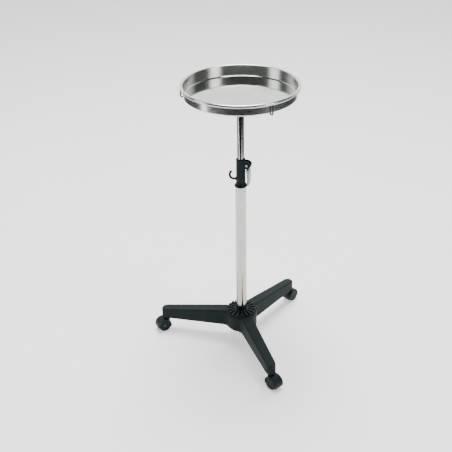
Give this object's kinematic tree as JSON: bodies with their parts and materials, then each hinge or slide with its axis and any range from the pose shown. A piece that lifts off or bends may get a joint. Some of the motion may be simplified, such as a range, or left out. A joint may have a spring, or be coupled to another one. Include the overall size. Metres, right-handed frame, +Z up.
{
  "type": "instrument cart",
  "caption": "Height-adjustable instrument cart: round rolled-rim steel tray on a telescopic column with a cam-lever clamp and a three-armed castor base.",
  "frame": {"origin": "on the floor, under the centre of the bounding box", "axes": "+Z up, -Y towards the front arm, +X towards the clamp's lever"},
  "size_m": [0.5878, 0.6102, 1.049],
  "materials": {
    "stainless_tray": "polished stainless sheet",
    "chrome_tube": "bright chrome plate",
    "dark_rod": "dark plated wire",
    "zinc_steel": "zinc plated",
    "lever_alloy": "silver lacquered casting",
    "charcoal_plastic": "fine-grained moulding",
    "black_plastic": "satin moulding",
    "white_plastic": "natural acetal",
    "grey_tyre": "matt tread"
  },
  "bodies": {
    "base": {"leg_base": "charcoal_plastic", "base_collar": "black_plastic", "foot_washer": "zinc_steel", "foot_bolt": "zinc_steel", "outer_tube": "chrome_tube", "tube_foot_plug": "zinc_steel", "clamp_sleeve": "black_plastic", "cam_pin": "zinc_steel", "cable_hook": "black_plastic", "caster_front_bush": "zinc_steel", "caster_right_bush": "zinc_steel", "caster_left_bush": "zinc_steel"},
    "slider": {"inner_tube_guide_bush": "white_plastic"},
    "column": {"inner_tube": "chrome_tube", "tube_top_plug": "zinc_steel", "holder_hub": "zinc_steel", "holder_screw": "zinc_steel", "holder_rod_front": "dark_rod", "holder_rod_right": "dark_rod", "holder_rod_left": "dark_rod"},
    "tray": {"tray_pan": "stainless_tray"},
    "lever": {"cam_lever": "lever_alloy"},
    "pad": {"pressure_pad": "white_plastic"},
    "caster_front": {"caster_front_stem": "zinc_steel", "caster_front_hood": "black_plastic", "caster_front_axle": "zinc_steel"},
    "wheel_front_a": {"caster_front_wheel_a": "black_plastic", "caster_front_tyre_a": "grey_tyre"},
    "wheel_front_b": {"caster_front_wheel_b": "black_plastic", "caster_front_tyre_b": "grey_tyre"},
    "caster_right": {"caster_right_stem": "zinc_steel", "caster_right_hood": "black_plastic", "caster_right_axle": "zinc_steel"},
    "wheel_right_a": {"caster_right_wheel_a": "black_plastic", "caster_right_tyre_a": "grey_tyre"},
    "wheel_right_b": {"caster_right_wheel_b": "black_plastic", "caster_right_tyre_b": "grey_tyre"},
    "caster_left": {"caster_left_stem": "zinc_steel", "caster_left_hood": "black_plastic", "caster_left_axle": "zinc_steel"},
    "wheel_left_a": {"caster_left_wheel_a": "black_plastic", "caster_left_tyre_a": "grey_tyre"},
    "wheel_left_b": {"caster_left_wheel_b": "black_plastic", "caster_left_tyre_b": "grey_tyre"}
  },
  "joints": [
    {"name": "height_adjust", "type": "slide", "parent": "base", "child": "slider", "axis": [0, 0, 1], "range_m": [-0.203, 0.13]},
    {"name": "column_turn", "type": "hinge", "parent": "slider", "child": "column", "pos_m": [0.05414, 0.02601, 0.9], "axis": [0, 0, 1], "continuous": true},
    {"name": "tray_lift", "type": "slide", "parent": "column", "child": "tray", "axis": [0, 0, 1], "range_m": [0, 0.06]},
    {"name": "lever_pivot", "type": "hinge", "parent": "base", "child": "lever", "pos_m": [0.07725, 0.0185, 0.7566], "axis": [-0.309, -0.9511, 0], "range_deg": [0, 110]},
    {"name": "pad_press", "type": "slide", "parent": "base", "child": "pad", "axis": [0.9511, -0.309, 0], "range_m": [0, 0.0006]},
    {"name": "caster_front_swivel", "type": "hinge", "parent": "base", "child": "caster_front", "pos_m": [0.15777, -0.25872, 0.06865], "axis": [0, 0, 1], "continuous": true},
    {"name": "wheel_front_a_spin", "type": "hinge", "parent": "caster_front", "child": "wheel_front_a", "pos_m": [0.16958, -0.27095, 0.025], "axis": [0.7193, 0.6947, 0], "continuous": true},
    {"name": "wheel_front_b_spin", "type": "hinge", "parent": "caster_front", "child": "wheel_front_b", "pos_m": [0.16958, -0.27095, 0.025], "axis": [0.7193, 0.6947, 0], "continuous": true},
    {"name": "caster_right_swivel", "type": "hinge", "parent": "base", "child": "caster_right", "pos_m": [0.2489, 0.25812, 0.06865], "axis": [0, 0, 1], "continuous": true},
    {"name": "wheel_right_a_spin", "type": "hinge", "parent": "caster_right", "child": "wheel_right_a", "pos_m": [0.26028, 0.27075, 0.025], "axis": [-0.7431, 0.6691, 0], "continuous": true},
    {"name": "wheel_right_b_spin", "type": "hinge", "parent": "caster_right", "child": "wheel_right_b", "pos_m": [0.26028, 0.27075, 0.025], "axis": [-0.7431, 0.6691, 0], "continuous": true},
    {"name": "caster_left_swivel", "type": "hinge", "parent": "base", "child": "caster_left", "pos_m": [-0.24426, 0.07862, 0.06865], "axis": [0, 0, 1], "continuous": true},
    {"name": "wheel_left_a_spin", "type": "hinge", "parent": "caster_left", "child": "wheel_left_a", "pos_m": [-0.25954, 0.07117, 0.025], "axis": [0.4384, -0.8988, 0], "continuous": true},
    {"name": "wheel_left_b_spin", "type": "hinge", "parent": "caster_left", "child": "wheel_left_b", "pos_m": [-0.25954, 0.07117, 0.025], "axis": [0.4384, -0.8988, 0], "continuous": true}
  ],
  "couplings": [
    {"joint": "pad_press", "follows": "lever_pivot", "m_per_rad": 0.0003125}
  ]
}
